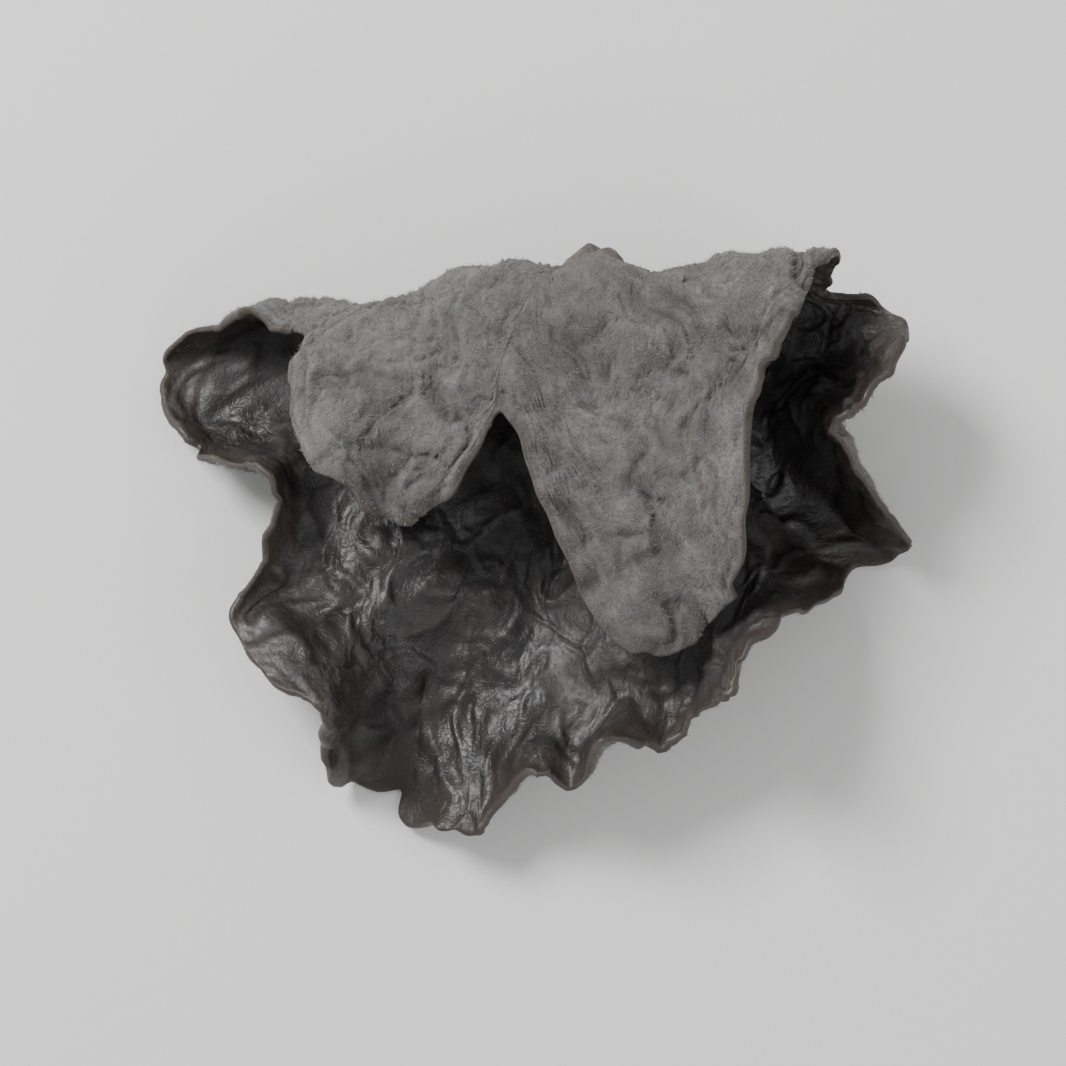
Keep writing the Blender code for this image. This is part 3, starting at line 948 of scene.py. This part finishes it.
def dust_group():
    """Pale spore dust and specks: fine noise gated by a patchy mask."""
    group, given, out = new_group(
        "spore_dust",
        [("Vector", "NodeSocketVector", None), ("Amount", "NodeSocketFloat", 0.5)],
        [("Dust", "NodeSocketFloat"), ("Specks", "NodeSocketFloat")],
    )
    vector = given.outputs["Vector"]
    patches = range_node(group, noise_node(group, vector, 260.0, 3.0, 0.6, 0.5), 0.45, 0.72)
    powder = range_node(group, noise_node(group, vector, 5200.0, 2.0, 0.6), 0.45, 0.75)
    dust = math_node(group, "MULTIPLY", patches, powder)
    dust = math_node(group, "MULTIPLY", dust, given.outputs["Amount"], True)
    spots = group.nodes.new("ShaderNodeTexVoronoi")
    group.links.new(vector, spots.inputs["Vector"])
    spots.inputs["Scale"].default_value = 900.0
    spots.inputs["Randomness"].default_value = 1.0
    speck = range_node(group, spots.outputs["Distance"], 0.05, 0.11, 1.0, 0.0)
    group.links.new(dust, out.inputs["Dust"])
    group.links.new(math_node(group, "MULTIPLY", speck, patches), out.inputs["Specks"])
    return group


def attribute_value(tree, name):
    """A number stored on the mesh."""
    node = tree.nodes.new("ShaderNodeAttribute")
    node.attribute_name = name
    return node.outputs["Fac"]


def object_place(tree):
    """Object coordinates, from one node per material."""
    node = tree.nodes.get("Texture Coordinate") or tree.nodes.new("ShaderNodeTexCoord")
    return node.outputs["Object"]


def placed_group(tree, group, **numbers):
    """A group node fed with object coordinates and its own numbers."""
    node = tree.nodes.new("ShaderNodeGroup")
    node.node_tree = group
    tree.links.new(object_place(tree), node.inputs["Vector"])
    for label, number in numbers.items():
        node.inputs[label].default_value = number
    return node


def bumped(tree, shader, height, distance, strength):
    """Feeds a height through a Bump node into the shader's normal."""
    node = tree.nodes.new("ShaderNodeBump")
    node.inputs["Distance"].default_value = distance
    node.inputs["Strength"].default_value = strength
    tree.links.new(height, node.inputs["Height"])
    tree.links.new(node.outputs["Normal"], shader.inputs["Normal"])


def empty_material(name):
    """A node material with its Principled shader."""
    material = bpy.data.materials.new(name)
    material.use_nodes = True
    return material, material.node_tree, material.node_tree.nodes["Principled BSDF"]


def growth_zones(tree, from_stub):
    """Faint wavering rings around the stub: sine of the distance plus a noise, mapped to 0..1."""
    waver = math_node(tree, "MULTIPLY", noise_node(tree, object_place(tree), 300.0, 3.0), 9.0)
    phase = math_node(tree, "ADD", math_node(tree, "MULTIPLY", from_stub, 1.9), waver)
    return range_node(tree, math_node(tree, "SINE", phase), -0.2, 1.0)


def streaks(tree, group, scale):
    """The streak group fed with the sheet's fanned-out coordinates."""
    node = tree.nodes.new("ShaderNodeGroup")
    node.node_tree = group
    fanned = tree.nodes.new("ShaderNodeAttribute")
    fanned.attribute_name = "fanned_out"
    tree.links.new(fanned.outputs["Vector"], node.inputs["Vector"])
    node.inputs["Scale"].default_value = scale
    return node.outputs["Streak"]


def inner_face_material(groups):
    """Nearly black satin skin, browner and thinner at the margin, with painted highlight on the
    vein tops.
    """
    material, tree, shader = empty_material("inner_face_dried")
    mottle = placed_group(tree, groups["mottling"], Scale=210.0)
    grain = placed_group(tree, groups["grain"], Scale=950.0, Fibre=0.22)
    dust = placed_group(tree, groups["dust"], Amount=0.4)
    streak = streaks(tree, groups["streak"], 0.55)
    rise = attribute_value(tree, "rise")
    from_margin = attribute_value(tree, "from_margin")
    side = attribute_value(tree, "side")
    colour = mix_node(tree, mottle.outputs["Clouds"], BLACK_SKIN, DARK_SKIN)
    colour = laid_over(tree, colour, mottle.outputs["Blotches"], 0.5, BROWN_BLACK)
    colour = laid_over(tree, colour, streak, 0.35, INNER_STREAK)
    # Painted highlight: paler where the relief is high, on the vein tops.
    painted_highlight_tops = range_node(tree, rise, -0.1, 1.1, 0.0, 0.5)
    colour = mix_node(tree, painted_highlight_tops, colour, VEIN_TOP_PAINTED_HIGHLIGHT)
    thin = range_node(tree, from_margin, 0.0, 2.2, 0.6, 0.0)
    colour = mix_node(tree, thin, colour, THIN_MARGIN)
    edge = range_node(tree, side, 0.55, 0.98, 0.75, 0.0)
    colour = mix_node(tree, edge, colour, EDGE_BROWN)
    colour = laid_over(tree, colour, dust.outputs["Dust"], 0.5, INNER_DUST)
    colour = laid_over(tree, colour, dust.outputs["Specks"], 0.4, INNER_SPECK)
    tree.links.new(colour, shader.inputs["Base Color"])
    rough = range_node(tree, mottle.outputs["Clouds"], 0.0, 1.0, 0.40, 0.58)
    crease = math_node(tree, "MULTIPLY", grain.outputs["Crease"], 0.10)
    dusty = math_node(tree, "MULTIPLY", dust.outputs["Dust"], 0.35)
    rough = math_node(tree, "ADD", math_node(tree, "ADD", rough, crease), dusty, True)
    tree.links.new(rough, shader.inputs["Roughness"])
    shader.inputs["Specular IOR Level"].default_value = 0.45
    shader.inputs["Coat Roughness"].default_value = 0.34
    gloss = range_node(tree, streak, 0.0, 1.0, 0.20, 0.02)
    tree.links.new(gloss, shader.inputs["Coat Weight"])
    bumped(tree, shader, grain.outputs["Height"], INNER_BUMP_M, 0.8)
    return material


def outer_face_material(groups):
    """Brown-grey skin under the down: streaked outwards, with painted highlight on the rib tops and
    painted shade in the wrinkles and fine creases; browner around the stub and at the edge."""
    material, tree, shader = empty_material("outer_face_dried")
    mottle = placed_group(tree, groups["mottling"], Scale=230.0)
    grain = placed_group(tree, groups["grain"], Scale=1500.0, Fibre=0.9)
    dust = placed_group(tree, groups["dust"], Amount=0.8)
    streak = streaks(tree, groups["streak"], 0.8)
    rise = attribute_value(tree, "rise")
    from_margin = attribute_value(tree, "from_margin")
    from_stub = attribute_value(tree, "from_stub")
    side = attribute_value(tree, "side")
    colour = mix_node(tree, mottle.outputs["Clouds"], GREY_LOW, GREY_HIGH)
    colour = laid_over(tree, colour, streak, 0.55, GREY_PALE)
    colour = laid_over(tree, colour, mottle.outputs["Blotches"], 0.40, GREY_DUSTY)
    colour = laid_over(tree, colour, growth_zones(tree, from_stub), 0.35, OUTER_ZONE)
    # Painted shade: darker where the relief is low, in the wrinkles.
    low = range_node(tree, rise, -1.5, -0.1, 0.85, 0.0)
    colour = mix_node(tree, low, colour, OUTER_WRINKLE_PAINTED_SHADE)
    # Painted highlight: paler where the relief is high, on the rib tops.
    painted_highlight_tops = range_node(tree, rise, 0.1, 1.3, 0.0, 0.5)
    colour = mix_node(tree, painted_highlight_tops, colour, RIB_TOP_PAINTED_HIGHLIGHT)
    # Painted shade in the fine creases of the grain.
    colour = laid_over(tree, colour, grain.outputs["Crease"], 0.35, OUTER_CREASE_PAINTED_SHADE)
    colour = laid_over(tree, colour, dust.outputs["Dust"], 0.5, OUTER_DUST)
    brown = range_node(tree, from_stub, 0.8, 6.0, 0.65, 0.0)
    colour = mix_node(tree, brown, colour, STUB_BROWN)
    scar = range_node(tree, from_stub, 0.9, 2.3, 1.0, 0.0)
    scar_tone = mix_node(tree, mottle.outputs["Blotches"], SCAR_DARK, SCAR_PALE)
    colour = laid_over(tree, colour, scar, 0.8, scar_tone)
    edge = range_node(tree, from_margin, 0.0, 0.6, 0.6, 0.0)
    colour = mix_node(tree, edge, colour, OUTER_MARGIN)
    turned = range_node(tree, side, 0.02, 0.45, 0.0, 0.75)
    colour = mix_node(tree, turned, colour, EDGE_BROWN)
    tree.links.new(colour, shader.inputs["Base Color"])
    rough = range_node(tree, mottle.outputs["Clouds"], 0.0, 1.0, 0.74, 0.92)
    tree.links.new(rough, shader.inputs["Roughness"])
    shader.inputs["Specular IOR Level"].default_value = 0.3
    shader.inputs["Sheen Weight"].default_value = 0.18
    shader.inputs["Sheen Roughness"].default_value = 0.5
    shader.inputs["Sheen Tint"].default_value = (*DOWN_SHEEN, 1.0)
    bumped(tree, shader, grain.outputs["Height"], OUTER_BUMP_M, 0.85)
    return material


def down_material(groups):
    """Short pale hairs in uneven tones: painted shade in the wrinkles, darker in faint zones around
    the stub, browner close to it, palest at their tips."""
    material, tree, shader = empty_material("down_dried")
    mottle = placed_group(tree, groups["mottling"], Scale=190.0)
    from_stub = attribute_value(tree, "from_stub")
    colour = mix_node(tree, mottle.outputs["Clouds"], HAIR_LOW, HAIR_HIGH)
    colour = laid_over(tree, colour, growth_zones(tree, from_stub), 0.45, HAIR_ZONE)
    # Painted shade: hairs darker where the relief is low, in the wrinkles.
    low = range_node(tree, attribute_value(tree, "rise"), -1.3, 0.3, 0.75, 0.0)
    colour = mix_node(tree, low, colour, HAIR_WRINKLE_PAINTED_SHADE)
    brown = range_node(tree, from_stub, 1.5, 6.5, 0.6, 0.0)
    colour = mix_node(tree, brown, colour, HAIR_BROWN)
    colour = laid_over(tree, colour, attribute_value(tree, "tip"), 0.40, HAIR_TIP)
    tree.links.new(colour, shader.inputs["Base Color"])
    rough = range_node(tree, mottle.outputs["Blotches"], 0.0, 1.0, 0.6, 0.8)
    tree.links.new(rough, shader.inputs["Roughness"])
    shader.inputs["Specular IOR Level"].default_value = 0.3
    return material


def floor_material():
    """Pale matte board."""
    material, tree, shader = empty_material("pale_floor")
    tone = noise_node(tree, object_place(tree), 9.0, 2.0)
    tree.links.new(mix_node(tree, tone, FLOOR_LOW, FLOOR_HIGH), shader.inputs["Base Color"])
    shader.inputs["Roughness"].default_value = 0.8
    return material


# ------------ putting it together


def add_object(name, mesh, *materials):
    """Links a mesh at the origin with its materials."""
    for material in materials:
        mesh.materials.append(material)
    made = bpy.data.objects.new(name, mesh)
    bpy.context.scene.collection.objects.link(made)
    return made


def add_ear():
    """The ear's body and its down, both standing for the one solid."""
    groups = {
        "grain": dried_grain_group(),
        "mottling": mottling_group(),
        "dust": dust_group(),
        "streak": streak_group(),
    }
    mesh, points, faces, quad_count, values = ear_mesh()
    hairs = down_mesh(points, faces, quad_count, values)
    body = add_object(
        "wood_ear_body", mesh, inner_face_material(groups), outer_face_material(groups)
    )
    down = add_object("wood_ear_down", hairs, down_material(groups))
    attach(body, "root")
    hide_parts("wood_ear")
    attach(down, "root")


def add_floor():
    """A pale square floor, four metres across."""
    half = FLOOR_HALF_WIDTH
    corners = [(-half, -half, 0), (half, -half, 0), (half, half, 0), (-half, half, 0)]
    mesh = bpy.data.meshes.new("floor")
    mesh.from_pydata(corners, [], [(0, 1, 2, 3)])
    add_object("floor", mesh, floor_material())


def add_soft_light(name, place, aim, size, power):
    """A square area light turned to a point."""
    light = bpy.data.lights.new(name, "AREA")
    light.size = size
    light.energy = power
    made = bpy.data.objects.new(name, light)
    made.location = place
    made.rotation_mode = "QUATERNION"
    made.rotation_quaternion = (aim - Vector(place)).to_track_quat("-Z", "Y")
    bpy.context.scene.collection.objects.link(made)


def add_lights_and_camera():
    """Soft key from the upper left, weak fill from the lower right, pale surroundings, and a
    camera that looks almost straight down."""
    low, high = cad_box
    centre = (low + high) / 2
    add_soft_light("key", KEY_PLACE, centre, KEY_SIZE, KEY_POWER)
    add_soft_light("fill", FILL_PLACE, centre, FILL_SIZE, FILL_POWER)
    world = bpy.data.worlds.new("pale_room")
    bpy.context.scene.world = world
    world.use_nodes = True
    background = world.node_tree.nodes["Background"]
    background.inputs["Color"].default_value = (1.0, 1.0, 1.0, 1.0)
    background.inputs["Strength"].default_value = ROOM_LIGHT
    camera = bpy.data.cameras.new("camera")
    camera.lens = LENS_MM
    camera.clip_start = CAMERA_NEAR
    camera.clip_end = CAMERA_FAR
    made = bpy.data.objects.new("camera", camera)
    bpy.context.scene.collection.objects.link(made)
    bpy.context.scene.camera = made
    elevation = math.radians(CAMERA_ELEVATION_DEG)
    back = Vector((0.0, -math.cos(elevation), math.sin(elevation)))
    width_seen = WIDTHS_SEEN * (high.x - low.x)
    distance = 0.5 * width_seen * camera.lens / (0.5 * camera.sensor_width)
    made.rotation_mode = "QUATERNION"
    made.location = centre + back * distance
    made.rotation_quaternion = (-back).to_track_quat("-Z", "Y")


add_ear()
add_floor()
add_lights_and_camera()
